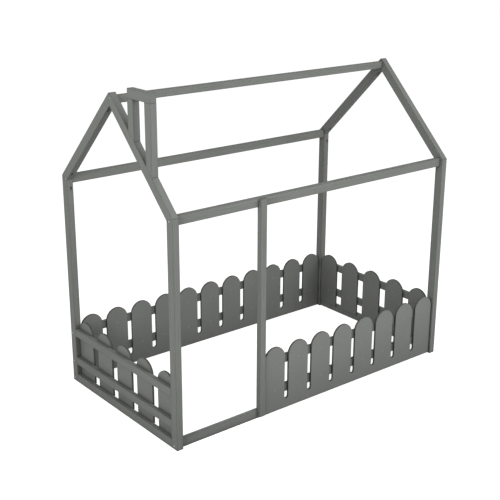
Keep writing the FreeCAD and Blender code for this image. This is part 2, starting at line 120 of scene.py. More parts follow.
class NodeBench:
    """Workbench on which the shader nodes of one material or world are laid out and wired."""

    def __init__(self, owner: Material | bpy.types.World, output: str = "ShaderNodeOutputMaterial") -> None:
        """Clear the bench and lay the output on it.

        Args:
            owner: Material or world that the nodes belong to.
            output: Blender's name of its output node.
        """
        owner.use_nodes = True
        self.owner = owner
        self.tree = owner.node_tree
        self.tree.nodes.clear()
        self.output = self.add(output)

    def add(self, kind: str, **settings: object) -> bpy.types.Node:
        """Lay one node on the bench.

        Args:
            kind: Blender's name of the node type.
            **settings: Properties of the node and their values.

        Returns:
            The new node.
        """
        node = self.tree.nodes.new(kind)
        for name, setting in settings.items():
            setattr(node, name, setting)
        return node

    def feed(self, socket: Socket, source: object) -> None:
        """Give an input a wire from another node or a fixed value.

        Args:
            socket: Input that is fed.
            source: Output socket of another node, or a number, vector or colour.
        """
        if isinstance(source, Socket):
            self.tree.links.new(source, socket)
        else:
            socket.default_value = source

    def reckon(self, operation: str, first: object, second: object = 0.0) -> Socket:
        """Do one sum with numbers that vary over the surface.

        Args:
            operation: Blender's name of the sum.
            first: First number or socket.
            second: Second number or socket.

        Returns:
            Socket that carries the result.
        """
        node = self.add("ShaderNodeMath", operation=operation)
        self.feed(node.inputs[0], first)
        self.feed(node.inputs[1], second)
        return node.outputs[0]

    def stretch(self, vector: Socket, scale: Triple) -> Socket:
        """Scale a place on the surface by a different factor along each axis.

        Args:
            vector: Socket that carries the place.
            scale: Factor for each axis.

        Returns:
            Socket that carries the scaled place.
        """
        node = self.add("ShaderNodeVectorMath", operation="MULTIPLY")
        self.feed(node.inputs[0], vector)
        self.feed(node.inputs[1], scale)
        return node.outputs[0]

    def clouds(self, vector: Socket, scale: float, detail: float = 3.0) -> Socket:
        """Soft random pattern from 0 to 1.

        Args:
            vector: Socket that carries the place.
            scale: Number of clouds in a metre.
            detail: Number of finer layers.

        Returns:
            Socket that carries the pattern.
        """
        node = self.add("ShaderNodeTexNoise")
        self.feed(node.inputs["Vector"], vector)
        self.feed(node.inputs["Scale"], scale)
        self.feed(node.inputs["Detail"], detail)
        return node.outputs["Fac"]

    def spread(self, value: Socket, low: float, high: float) -> Socket:
        """Turn a stretch of values into a full ramp from 0 to 1.

        Args:
            value: Socket that carries the values.
            low: Value that becomes 0.
            high: Value that becomes 1.

        Returns:
            Socket that carries the ramp.
        """
        node = self.add("ShaderNodeMapRange", interpolation_type="SMOOTHSTEP")
        self.feed(node.inputs["Value"], value)
        self.feed(node.inputs["From Min"], low)
        self.feed(node.inputs["From Max"], high)
        return node.outputs["Result"]

    def darken(self, tone: object, mask: Socket, share: float) -> Socket:
        """Take a share of the light out of a tone where a mask is 1.

        Args:
            tone: Number or socket that scales the colour so far.
            mask: Socket that is 1 where the tone is darkest.
            share: Share that goes at most; a negative share lightens.

        Returns:
            Socket that carries the new tone.
        """
        kept = self.reckon("SUBTRACT", 1.0, self.reckon("MULTIPLY", mask, share))
        return self.reckon("MULTIPLY", tone, kept)

    def surface_place(
        self,
        turn: Triple = (0.0, 0.0, 0.0),
        shift_most: Triple = (7.0, 5.0, 11.0),
    ) -> Socket:
        """Place on the object in metres, turned, and shifted by a different amount for each object.

        Args:
            turn: Turn about X, Y and Z in radians.
            shift_most: Largest shift along each axis, in metres.

        Returns:
            Socket that carries the place.
        """
        place = self.add("ShaderNodeTexCoord").outputs["Object"]
        rotate = self.add("ShaderNodeVectorRotate", rotation_type="EULER_XYZ")
        self.feed(rotate.inputs["Vector"], place)
        self.feed(rotate.inputs["Rotation"], turn)
        shift = self.stretch(self.add("ShaderNodeObjectInfo").outputs["Random"], shift_most)
        total = self.add("ShaderNodeVectorMath", operation="ADD")
        self.feed(total.inputs[0], rotate.outputs["Vector"])
        self.feed(total.inputs[1], shift)
        return total.outputs[0]

    def edges(self, radius: float, full: float = 0.12) -> Socket:
        """Mask of the outside and inside edges.

        Args:
            radius: Distance from the edge that the mask reaches, in metres.
            full: Loss of likeness between the rounded and the flat normal at which the mask is full.

        Returns:
            Socket that is 1 on an edge and 0 on a flat.
        """
        rounded = self.add("ShaderNodeBevel", samples=4)
        self.feed(rounded.inputs["Radius"], radius)
        likeness = self.add("ShaderNodeVectorMath", operation="DOT_PRODUCT")
        self.feed(likeness.inputs[0], rounded.outputs["Normal"])
        self.feed(likeness.inputs[1], self.add("ShaderNodeNewGeometry").outputs["True Normal"])
        return self.spread(self.reckon("SUBTRACT", 1.0, likeness.outputs["Value"]), 0.0, full)

    def faces(self, direction: Vector, least: float = 0.70, full: float = 0.85) -> Socket:
        """Mask of the faces that look along a direction, either way.

        Args:
            direction: Unit vector in the frame of the bed.
            least: Cosine of the angle at which the mask starts.
            full: Cosine of the angle at which the mask is full.

        Returns:
            Socket that is 1 on those faces.
        """
        likeness = self.add("ShaderNodeVectorMath", operation="DOT_PRODUCT")
        self.feed(likeness.inputs[0], self.add("ShaderNodeNewGeometry").outputs["True Normal"])
        self.feed(likeness.inputs[1], direction)
        return self.spread(self.reckon("ABSOLUTE", likeness.outputs["Value"]), least, full)

    def painted_corner_shade(self, reach: float) -> Socket:
        """Mask for painted shade in the corners and recesses where pieces meet, taken from ambient
        occlusion.

        Args:
            reach: How far the mask comes out of the corner, in metres.

        Returns:
            Socket that is 1 deep in a corner.
        """
        node = self.add("ShaderNodeAmbientOcclusion", samples=8)
        self.feed(node.inputs["Distance"], reach)
        return self.reckon("SUBTRACT", 1.0, node.outputs["AO"])

    def relief(self, height: Socket, depth: float, strength: float = 1.0) -> Socket:
        """Normal of a surface with a fine relief.

        Args:
            height: Socket that runs from 0 in the hollows to 1 on the crests.
            depth: Height of the crests, in metres.
            strength: How much of the relief shows.

        Returns:
            Socket that carries the normal.
        """
        node = self.add("ShaderNodeBump")
        self.feed(node.inputs["Strength"], strength)
        self.feed(node.inputs["Distance"], depth)
        self.feed(node.inputs["Height"], height)
        return node.outputs["Normal"]

    def finish(
        self,
        colour: Triple,
        tone: Socket,
        roughness: Socket,
        normal: Socket,
        metallic: float = 0.0,
        gloss: float = 0.5,
    ) -> Material:
        """Wire the surface into the output.

        Args:
            colour: Linear red, green and blue.
            tone: Socket of the factor that scales the colour over the surface.
            roughness: Socket of the roughness.
            normal: Socket of the relief.
            metallic: 1 for metal, 0 for everything else.
            gloss: Level of the mirror part of the shine.

        Returns:
            The finished material.
        """
        shader = self.add("ShaderNodeBsdfPrincipled")
        self.feed(shader.inputs["Metallic"], metallic)
        self.feed(shader.inputs["Specular IOR Level"], gloss)
        tinted = self.add("ShaderNodeVectorMath", operation="SCALE")
        self.feed(tinted.inputs[0], colour)
        self.feed(tinted.inputs["Scale"], tone)
        self.feed(shader.inputs["Base Color"], tinted.outputs[0])
        self.feed(shader.inputs["Roughness"], roughness)
        self.feed(shader.inputs["Normal"], normal)
        self.feed(self.output.inputs["Surface"], shader.outputs["BSDF"])
        return self.owner


@dataclass(frozen=True)
class Coat:
    """Matt grey paint brushed on by hand and uneven; painted shade darkens its edges, the corners where
    pieces meet and the faces that other pieces shelter.
    """

    hand_swing: float = 0.13
    edge_reach: float = 0.0075
    # painted shade: reach and share of the darkening in corners, and reach of the darkening on sheltered
    # faces
    painted_crease_reach: float = 0.020
    painted_crease_shade: float = 0.52
    painted_shelter_reach: float = 0.35
    gloss: float = 0.35

    def uneven(self, bench: NodeBench, hand: Socket) -> Socket:
        """Start the tone with the brush's thick and thin places.

        Args:
            bench: Bench of the material.
            hand: Socket of the pattern that the brush left.

        Returns:
            Socket that carries the tone.
        """
        return bench.darken(1.0 + self.hand_swing / 2, hand, self.hand_swing)

    def add_painted_shade(self, bench: NodeBench, tone: Socket, painted_shelter_shade: float) -> Socket:
        """Paint shade into the corners where two pieces meet and onto the faces that others shelter.

        Args:
            bench: Bench of the material.
            tone: Socket that carries the tone so far.
            painted_shelter_shade: Share of the colour taken out as painted shade on a fully sheltered face.

        Returns:
            Socket that carries the tone.
        """
        # painted shade: ambient occlusion darkens the corners where pieces meet and, over a longer reach,
        # the faces that other pieces shelter
        tone = bench.darken(tone, bench.painted_corner_shade(self.painted_crease_reach), self.painted_crease_shade)
        return bench.darken(tone, bench.painted_corner_shade(self.painted_shelter_reach), painted_shelter_shade)


@dataclass(frozen=True)
class PaintedPine(Coat):
    """Paint on planed pine: the growth lines and fibres still show faintly through it."""

    colour: Triple = (0.228, 0.237, 0.222)
    hand_scale: float = 9.0
    hand_stretch: float = 0.4
    growth_gap: float = 0.006
    growth_stretch: float = 28.0
    growth_span: Pair = (0.42, 0.62)
    growth_shade: float = 0.10
    growth_relief: float = 0.4
    fibre_gap: float = 0.0009
    fibre_stretch: float = 60.0
    fibre_shade: float = 0.08
    fibre_relief: float = 0.6
    fibre_depth: float = 0.00012
    fibre_dryness: float = 0.12
    # painted shade along outside and inside edges, standing in for the shading of rounded edges and contact
    # lines
    painted_edge_shade: float = 0.40
    end_scale: float = 900.0
    end_shade: float = 0.16
    rub_scale: float = 55.0
    rub_span: Pair = (0.62, 0.70)
    rub_shade: float = -0.22
    painted_shelter_shade: float = 0.40
    dryness: float = 0.62

    def material(self, run: Run) -> Material:
        """Build the paint for sticks of one run.

        Args:
            run: Direction in which the sticks run.

        Returns:
            The material.
        """
        bench = NodeBench(bpy.data.materials.new(f"painted_pine_{run.name.lower()}"))
        place = bench.surface_place(run.value)
        brush = bench.stretch(place, (1.0, 1.0, self.hand_stretch))
        hand = bench.clouds(brush, self.hand_scale, detail=2.0)
        rings = bench.stretch(place, (1.0, 1.0, 1.0 / self.growth_stretch))
        lines = bench.spread(bench.clouds(rings, 1.0 / self.growth_gap, detail=4.0), *self.growth_span)
        threads = bench.stretch(place, (1.0, 1.0, 1.0 / self.fibre_stretch))
        fibres = bench.clouds(threads, 1.0 / self.fibre_gap, detail=2.0)
        edge = bench.edges(self.edge_reach)
        rubs = bench.spread(bench.clouds(place, self.rub_scale), *self.rub_span)
        ends = bench.reckon("MULTIPLY", bench.faces(run.direction), bench.clouds(place, self.end_scale))

        tone = self.uneven(bench, hand)
        tone = bench.darken(tone, lines, self.growth_shade)
        tone = bench.darken(tone, fibres, self.fibre_shade)
        # painted shade along the edges
        tone = bench.darken(tone, edge, self.painted_edge_shade)
        tone = bench.darken(tone, bench.reckon("MULTIPLY", edge, rubs), self.rub_shade)
        tone = bench.darken(tone, ends, self.end_shade)
        tone = self.add_painted_shade(bench, tone, self.painted_shelter_shade)

        ridges = bench.reckon("MULTIPLY", lines, self.growth_relief)
        height = bench.reckon("ADD", ridges, bench.reckon("MULTIPLY", fibres, self.fibre_relief))
        dry = bench.reckon("MULTIPLY", fibres, self.fibre_dryness)
        return bench.finish(
            self.colour,
            tone,
            bench.reckon("ADD", self.dryness, dry),
            bench.relief(height, self.fibre_depth),
            gloss=self.gloss,
        )


@dataclass(frozen=True)
class PaintedBoard(Coat):
    """Paint on fibreboard: smooth faces with a fine peel, and sawn edges that are thirstier and also
    darkened by painted shade.
    """

    colour: Triple = (0.219, 0.227, 0.213)
    hand_scale: float = 7.0
    peel_gap: float = 0.0016
    peel_depth: float = 0.00008
    speck_gap: float = 0.004
    speck_span: Pair = (0.45, 0.65)
    speck_shade: float = 0.10
    sawn_tone_and_painted_shade: float = 0.62
    sawn_dryness: float = 0.2
    # painted shade along outside and inside edges, standing in for the shading of rounded edges and contact
    # lines
    painted_edge_shade: float = 0.48
    painted_shelter_shade: float = 0.66
    dryness: float = 0.58

    def material(self, side: Side) -> Material:
        """Build the paint for a panel on one side of the bed.

        Args:
            side: Side of the bed, which gives the panel's broad faces.

        Returns:
            The material.
        """
        bench = NodeBench(bpy.data.materials.new(f"painted_board_{side.value}"))
        place = bench.surface_place()
        hand = bench.clouds(place, self.hand_scale, detail=2.0)
        peel = bench.clouds(place, 1.0 / self.peel_gap)
        specks = bench.spread(bench.clouds(place, 1.0 / self.speck_gap, detail=5.0), *self.speck_span)
        sawn = bench.reckon("SUBTRACT", 1.0, bench.faces(side.facing))

        tone = self.uneven(bench, hand)
        tone = bench.darken(tone, specks, self.speck_shade)
        # sawn edges darker: partly thirstier paint, partly painted shade for the dim light on up-facing and
        # side-facing edges
        tone = bench.darken(tone, sawn, self.sawn_tone_and_painted_shade)
        # painted shade along the edges
        tone = bench.darken(tone, bench.edges(self.edge_reach), self.painted_edge_shade)
        tone = self.add_painted_shade(bench, tone, self.painted_shelter_shade)

        dry = bench.reckon("MULTIPLY", sawn, self.sawn_dryness)
        return bench.finish(
            self.colour,
            tone,
            bench.reckon("ADD", self.dryness, dry),
            bench.relief(peel, self.peel_depth),
            gloss=self.gloss,
        )


@dataclass(frozen=True)
class Steel:
    """Steel of the fixings, brushed by the machine that made the thread; bright zinc as it stands."""

    name: str = "zinc_steel_turned"
    colour: Triple = (0.56, 0.57, 0.58)
    metallic: float = 1.0
    cloud_scale: float = 260.0
    cloud_shade: float = 0.18
    # painted shade in the sockets and recesses of the fixings
    painted_recess_reach: float = 0.002
    painted_recess_shade: float = 0.5
    scratch_scale: float = 1400.0
    scratch_stretch: float = 6.0
    scratch_depth: float = 0.00003
    scratch_strength: float = 0.5
    scratch_dullness: float = 0.15
    dullness: float = 0.34

    def material(self) -> Material:
        """Build the metal.

        Returns:
            The material.
        """
        bench = NodeBench(bpy.data.materials.new(self.name))
        place = bench.surface_place()
        drawn = bench.stretch(place, (1.0, self.scratch_stretch, self.scratch_stretch))
        scratches = bench.clouds(drawn, self.scratch_scale, detail=1.0)
        tone = bench.darken(1.0, bench.clouds(place, self.cloud_scale), self.cloud_shade)
        # painted shade: ambient occlusion darkens the recesses
        tone = bench.darken(tone, bench.painted_corner_shade(self.painted_recess_reach), self.painted_recess_shade)
        dull = bench.reckon("MULTIPLY", scratches, self.scratch_dullness)
        return bench.finish(
            self.colour,
            tone,
            bench.reckon("ADD", self.dullness, dull),
            bench.relief(scratches, self.scratch_depth, self.scratch_strength),
            metallic=self.metallic,
        )


@dataclass(frozen=True)
class BareBeech:
    """Unpainted beech of the dowels: pale brown with short dark flecks along the grain."""

    colour: Triple = (0.56, 0.40, 0.25)
    lightest: float = 1.06
    cloud_scale: float = 60.0
    cloud_shade: float = 0.12
    fleck_scale: float = 900.0
    fleck_stretch: float = 0.12
    fleck_span: Pair = (0.5, 0.7)
    fleck_shade: float = 0.28
    fleck_dryness: float = 0.1
    pore_depth: float = 0.00008
    dryness: float = 0.66

    def material(self) -> Material:
        """Build the wood.

        Returns:
            The material.
        """
        bench = NodeBench(bpy.data.materials.new("bare_beech"))
        place = bench.surface_place(Run.ACROSS_BED.value)
        grain = bench.stretch(place, (1.0, 1.0, self.fleck_stretch))
        flecks = bench.spread(bench.clouds(grain, self.fleck_scale), *self.fleck_span)
        tone = bench.darken(self.lightest, bench.clouds(place, self.cloud_scale), self.cloud_shade)
        tone = bench.darken(tone, flecks, self.fleck_shade)
        dry = bench.reckon("MULTIPLY", flecks, self.fleck_dryness)
        return bench.finish(
            self.colour,
            tone,
            bench.reckon("ADD", self.dryness, dry),
            bench.relief(flecks, self.pore_depth),
        )


@dataclass
class Joinery:
    """The painted sticks: gables, roof beams, bottom rails, middle post, fence rails and chimney."""

    paint: PaintedPine = field(default_factory=PaintedPine)
    eased_edge: float = 1.5 * MM
    flat_angle: float = math.radians(1.0)
    edge_angle: float = math.radians(30.0)

    def runs(self) -> dict[Run, list[str]]:
        """Names of the sticks, sorted by the direction in which they run.

        Returns:
            The node names of each run.
        """
        ends = ("left", "right")
        upright = [f"post_{side}_{end}" for side in ("front", "back") for end in ends]
        upright += ["middle_post", "chimney_post_front", "chimney_post_back"]
        along = ["eave_beam_front", "eave_beam_back", "ridge_beam", "sill_front", "sill_back"]
        along += [f"rail_{side}_{level}" for side in ("front", "back") for level in ("middle", "top")]
        across = ["chimney_cap"] + [f"sill_{end}" for end in ends]
        across += [f"rail_{end}_{level}" for end in ends for level in ("middle", "top")]
        return {
            Run.UPRIGHT: upright,
            Run.ALONG_BED: along,
            Run.ACROSS_BED: across,
            Run.FRONT_SLOPE: [f"rafter_front_{end}" for end in ends],
            Run.BACK_SLOPE: [f"rafter_back_{end}" for end in ends],
        }

    def dress(self) -> None:
        """Ease the edges of every stick and paint it with its grain along its run."""
        for run, names in self.runs().items():
            material = self.paint.material(run)
            for name in names:
                ease_edges(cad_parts[name], self.eased_edge, self.flat_angle, self.edge_angle)
                paint_over(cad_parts[name], material)
                log.info("stick %s painted, running %s", name, run.name.lower())


def ease_edges(node: Piece, width: float, flat_angle: float, edge_angle: float) -> None:
    """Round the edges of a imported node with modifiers, which leave its mesh as it is.

    Args:
        node: Object of the node.
        width: Width of the rounding, in metres.
        flat_angle: Faces that meet at less than this angle are joined into one.
        edge_angle: Edges sharper than this angle are rounded.
    """
    weld = node.modifiers.new("joined_corners", "WELD")
    weld.merge_threshold = SAME_POINT
    whole = node.modifiers.new("whole_faces", "DECIMATE")
    whole.decimate_type = "DISSOLVE"
    whole.angle_limit = flat_angle
    rounding = node.modifiers.new("eased_edges", "BEVEL")
    rounding.width = width
    rounding.segments = 2
    rounding.limit_method = "ANGLE"
    rounding.angle_limit = edge_angle
    rounding.miter_outer = "MITER_ARC"


def paint_over(piece: Piece, material: Material) -> None:
    """Give every material slot of an object the same finish.

    Args:
        piece: Object that is painted.
        material: The finish.
    """
    if not piece.material_slots:
        piece.data.materials.append(material)
    for slot in piece.material_slots:
        slot.material = material


@dataclass(frozen=True)
class Spot:
    """Where one fastener sits: the middle of its head face and of its far end."""

    head: Vector
    tip: Vector

    @property
    def length(self) -> float:
        """Length from head to tip, in metres."""
        return (self.tip - self.head).length

    def seat(self) -> Matrix:
        """Matrix that sets a fastener built from its head face along +Z into the spot."""
        along = Vector(round(part, 6) for part in self.tip - self.head)
        turn = along.to_track_quat("Z", "Y")
        return Matrix.Translation(self.head) @ turn.to_matrix().to_4x4()


def loose_solids(mesh: bpy.types.Mesh) -> Iterator[list[Vector]]:
    """Split a group node into its separate solids.

    Args:
        mesh: Mesh of the node.

    Yields:
        The corners of one solid, sorted, so that every run gives the same sums.
    """
    work = bmesh.new()
    work.from_mesh(mesh)
    bmesh.ops.remove_doubles(work, verts=work.verts, dist=SAME_POINT)
    left = set(work.verts)
    while left:
        solid = [left.pop()]
        for corner in solid:
            near = {edge.other_vert(corner) for edge in corner.link_edges} & left
            left -= near
            solid.extend(near)
        yield sorted((corner.co.copy() for corner in solid), key=tuple)
    work.free()


def long_axis(corners: list[Vector]) -> Vector:
    """Direction in which a solid is longest.

    Args:
        corners: Corners of the solid.

    Returns:
        Unit vector.
    """
    middle = sum(corners, Vector()) / len(corners)
    rounds, slanted_start = 40, Vector((0.83, 0.41, 0.37))
    direction = slanted_start
    for _ in range(rounds):
        direction = sum(((c - middle) * (c - middle).dot(direction) for c in corners), Vector())
        direction.normalize()
    return direction


def find_spots(node: str) -> list[Spot]:
    """Find where each fastener of a group node sits, from its plain solids.

    Args:
        node: Name of the group node.

    Returns:
        One spot for each solid. The head is the wider end, or of two equal ends the one at the back
        or the top: the holes of the cross nuts open at the back.
    """
    spots = []
    for corners in loose_solids(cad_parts[node].data):
        axis = long_axis(corners)
        reach = [corner.dot(axis) for corner in corners]
        ends = []
        for end in (min(reach), max(reach)):
            face = [c for c, along in zip(corners, reach) if abs(along - end) < SAME_FACE]
            middle = sum(face, Vector()) / len(face)
            width = max((c - middle).length for c in face)
            ends.append((round(width, 5), middle))
        tip, head = sorted(ends, key=lambda item: item[0])
        spots.append(Spot(head=head[1], tip=tip[1]))
    return sorted(spots, key=lambda spot: tuple(spot.head))


def turned(outline: list[Pair], sides: int = 32) -> Solid:
    """Turn an outline about the Z axis, as on a lathe.

    Args:
        outline: Radius and height of each point in millimetres; a radius of 0 closes an end.
        sides: Number of flats round the axis.

    Returns:
        The turned solid.
    """
    work = bmesh.new()
    rings = []
    for radius, height in outline:
        if radius == 0.0:
            rings.append([work.verts.new((0.0, 0.0, height))])
            continue
        angles = [math.tau * side / sides for side in range(sides)]
        rings.append([work.verts.new((radius * math.cos(a), radius * math.sin(a), height)) for a in angles])
    for low, high in zip(rings, rings[1:]):
        for side in range(sides):
            corners = [low[side % len(low)], low[(side + 1) % len(low)]]
            corners += [high[(side + 1) % len(high)], high[side % len(high)]]
            work.faces.new(list(dict.fromkeys(corners)))
    bmesh.ops.recalc_face_normals(work, faces=work.faces)
    return work


def wind_thread(work: Solid, core: float, crest: float, start: float, end: float, pitch: float) -> None:
    """Wind a thread's ridge round a shank.

    Args:
        work: Solid that the ridge is added to.
        core: Radius of the shank, in millimetres.
        crest: Radius of the ridge's edge.
        start: Height at which the ridge starts.
        end: Height at which it ends.
        pitch: Climb in one turn.
    """
    steps_per_turn = 20
    root, flank = core * 0.97, pitch * 0.36
    steps = int(abs(end - start) / pitch * steps_per_turn)
    climb = (end - start) / steps
    rows = []
    for step in range(steps + 1):
        angle = math.tau * step / steps_per_turn
        height = start + climb * step
        fade = min(1.0, step / steps_per_turn, (steps - step) / steps_per_turn)
        ridge = core + (crest - core) * fade
        profile = [(root, -flank), (ridge, 0.0), (root, flank)]
        row = [(r * math.cos(angle), r * math.sin(angle), height + z) for r, z in profile]
        rows.append([work.verts.new(point) for point in row])
    for low, high in zip(rows, rows[1:]):
        for side in (0, 1):
            work.faces.new((low[side], low[side + 1], high[side + 1], high[side]))
        work.faces.new((low[2], low[0], high[0], high[2]))
    work.faces.new(rows[0])
    work.faces.new(list(reversed(rows[-1])))


def carve(work: Solid, cutters: list[Solid]) -> Solid:
    """Cut other solids out of a solid.

    Args:
        work: Solid that is cut; it is used up.
        cutters: Solids that are taken out; they are used up.

    Returns:
        The carved solid.
    """
    blank = stand_up("carving_blank", work)
    for cutter in cutters:
        bmesh.ops.recalc_face_normals(cutter, faces=cutter.faces)
        tool = stand_up("carving_tool", cutter)
        cut = blank.modifiers.new("cut", "BOOLEAN")
        cut.operation = "DIFFERENCE"
        cut.solver = "EXACT"
        cut.object = tool
        bpy.context.view_layer.update()
        shape = bpy.data.meshes.new_from_object(blank.evaluated_get(bpy.context.evaluated_depsgraph_get()))
        blank.modifiers.clear()
        blank.data = shape
        bpy.data.objects.remove(tool)
    result = bmesh.new()
    result.from_mesh(blank.data)
    bpy.data.objects.remove(blank)
    return result


def stand_up(name: str, work: Solid) -> Piece:
    """Turn a solid into an object of the scene.

    Args:
        name: Name of the object.
        work: The solid; it is used up.

    Returns:
        The object.
    """
    mesh = bpy.data.meshes.new(name)
    work.to_mesh(mesh)
    work.free()
    piece = bpy.data.objects.new(name, mesh)
    bpy.context.scene.collection.objects.link(piece)
    return piece


def prism(sides: int, width: float, low: float, high: float) -> Solid:
    """Prism about the Z axis.

    Args:
        sides: Number of sides.
        width: Distance between two corners across the middle, in millimetres.
        low: Lower end.
        high: Upper end.

    Returns:
        The prism.
    """
    return turned([(0.0, low), (width / 2, low), (width / 2, high), (0.0, high)], sides)


def bar(long: float, wide: float, low: float, high: float) -> Solid:
    """Rectangular bar centred on the Z axis, used as a cutter.

    Args:
        long: Length along X, in millimetres.
        wide: Width along Y.
        low: Lower end.
        high: Upper end.

    Returns:
        The bar.
    """
    work = bmesh.new()
    size = Matrix.Diagonal((long, wide, high - low, 1.0))
    bmesh.ops.create_cube(work, size=1.0, matrix=Matrix.Translation((0.0, 0.0, (low + high) / 2)) @ size)
    return work


@dataclass(frozen=True)
class Bolt:
    """Low-headed bolt with a six-sided socket, drawn from its head face down; sizes in millimetres."""

    shank: float = 6.0
    head: float = 13.0
    head_high: float = 5.0
    rim: tuple[Pair, ...] = ((-1.6, 0.0), (-0.6, 0.35), (0.0, 1.4))
    socket: float = 5.8
    socket_deep: float = 3.0
    pitch: float = 1.0
    thread_long: float = 30.0
    core_share: float = 0.93
    tip_share: float = 0.7
    tip_long: float = 1.0
    thread_stop: float = 1.2

    def model(self, length: float) -> Solid:
        """Turn one bolt and cut its socket.

        Args:
            length: Length from head face to tip, in millimetres.

        Returns:
            The solid.
        """
        head, shank = self.head / 2, self.shank / 2
        core = shank * self.core_share
        outline = [(0.0, 0.0), *((head + inset, depth) for inset, depth in self.rim)]
        outline += [(head, self.head_high), (shank, self.head_high), (core, length - self.tip_long)]
        outline += [(shank * self.tip_share, length), (0.0, length)]
        work = carve(turned(outline), [prism(6, self.socket, -OVERCUT_MM, self.socket_deep)])
        wind_thread(work, core, shank, length - self.thread_long, length - self.thread_stop, self.pitch)
        return work


@dataclass(frozen=True)
class CrossNut:
    """Round nut that lies across a stick and takes a bolt through its side; sizes in millimetres."""

    size: float = 10.0
    chamfer: float = 0.5
    bore: float = 6.2
    bore_reach: float = 8.0
    slot_wide: float = 1.4
    slot_deep: float = 1.6

    def model(self, length: float) -> Solid:
        """Turn one nut, bore it and saw the slot that turns it into line.

        Args:
            length: Length of the nut, in millimetres.

        Returns:
            The solid.
        """
        radius = self.size / 2
        end = radius - self.chamfer
        outline = [(0.0, 0.0), (end, 0.0), (radius, self.chamfer), (radius, length - self.chamfer)]
        outline += [(end, length), (0.0, length)]
        bore = prism(24, self.bore, -self.bore_reach, self.bore_reach)
        lay = Matrix.Translation((0.0, 0.0, length / 2)) @ Matrix.Rotation(math.radians(90), 4, "Y")
        bmesh.ops.transform(bore, matrix=lay, verts=bore.verts)
        slot = bar(self.size * 1.2, self.slot_wide, -OVERCUT_MM, self.slot_deep)
        return carve(turned(outline), [bore, slot])


@dataclass(frozen=True)
class WoodScrew:
    """Wood screw with a cross recess and a coarse thread; sizes in millimetres."""

    shank: float
    head: float
    head_high: float
    pitch: float = 2.2
    dome: float = 0.3
    crown_share: float = 0.6
    crown_deep: float = 0.06
    rim_round: float = 0.3
    rim_high: float = 0.5
    core_share: float = 0.36
    neck_long: float = 0.6
    plain_long: float = 3.0
    point_share: float = 0.8
    arm_share: Triple = (1.05, 0.26, 0.6)

    def model(self, length: float) -> Solid:
        """Turn one screw and cut its recess.

        Args:
            length: Length from head face to point, in millimetres.

        Returns:
            The solid.
        """
        head, shank = self.head / 2, self.shank / 2
        core = self.shank * self.core_share
        neck = self.head_high + self.neck_long
        outline = [(0.0, 0.0), (head * self.crown_share, self.crown_deep)]
        outline += [(head - self.rim_round, self.dome), (head, self.dome + self.rim_high)]
        outline += [(shank, self.head_high), (core, neck), (core, length - self.shank), (0.0, length)]
        long, wide, deep = self.arm_share
        arms = ((head * long, head * wide), (head * wide, head * long))
        cutters = [bar(*arm, -OVERCUT_MM, self.head_high * deep) for arm in arms]
        work = carve(turned(outline), cutters)
        point = length - self.shank * self.point_share
        wind_thread(work, core, shank, neck + self.plain_long, point, self.pitch)
        return work


@dataclass(frozen=True)
class Dowel:
    """Beech dowel with flutes for the glue and chamfered ends; sizes in millimetres."""

    size: float = 10.0
    flutes: int = 16
    flute_deep: float = 0.35
    chamfer: float = 1.4

    def model(self, length: float) -> Solid:
        """Turn one dowel and press its flutes.

        Args:
            length: Length of the dowel, in millimetres.

        Returns:
            The solid.
        """
        radius = self.size / 2
        outline = [(0.0, 0.0), (radius - self.chamfer, 0.0), (radius, self.chamfer)]
        outline += [(radius, length - self.chamfer), (radius - self.chamfer, length), (0.0, length)]
        work = turned(outline, self.flutes * 4)
        for corner in work.verts:
            across = math.hypot(corner.co.x, corner.co.y)
            turn = math.atan2(corner.co.y, corner.co.x)
            if across > radius - self.chamfer / 2:
                press = 1.0 - self.flute_deep / radius * max(0.0, math.cos(turn * self.flutes))
                corner.co.x *= press
                corner.co.y *= press
        return work


def place_group(name: str, model: Maker, spots: list[Spot]) -> Piece:
    """Set copies of one fastener into all its spots, as one piece that rides on the bed.

    Args:
        name: Name of the piece.
        model: Function that makes one fastener of a length in millimetres.
        spots: Where the copies go.

    Returns:
        The piece.
    """
    pattern = model(spots[0].length / MM)
    bmesh.ops.transform(pattern, matrix=Matrix.Scale(MM, 4), verts=pattern.verts)
    for face in pattern.faces:
        face.smooth = True
    for edge in pattern.edges:
        edge.smooth = edge.calc_face_angle(0.0) < ROUND_FACES
    single = bpy.data.meshes.new(f"{name}_pattern")
    pattern.to_mesh(single)
    pattern.free()
    group = bmesh.new()
    for spot in spots:
        before = len(group.verts)
        group.from_mesh(single)
        group.verts.ensure_lookup_table()
        bmesh.ops.transform(group, matrix=spot.seat(), verts=group.verts[before:])
    bpy.data.meshes.remove(single)
    piece = stand_up(name, group)
    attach(piece, BODY)
    return piece


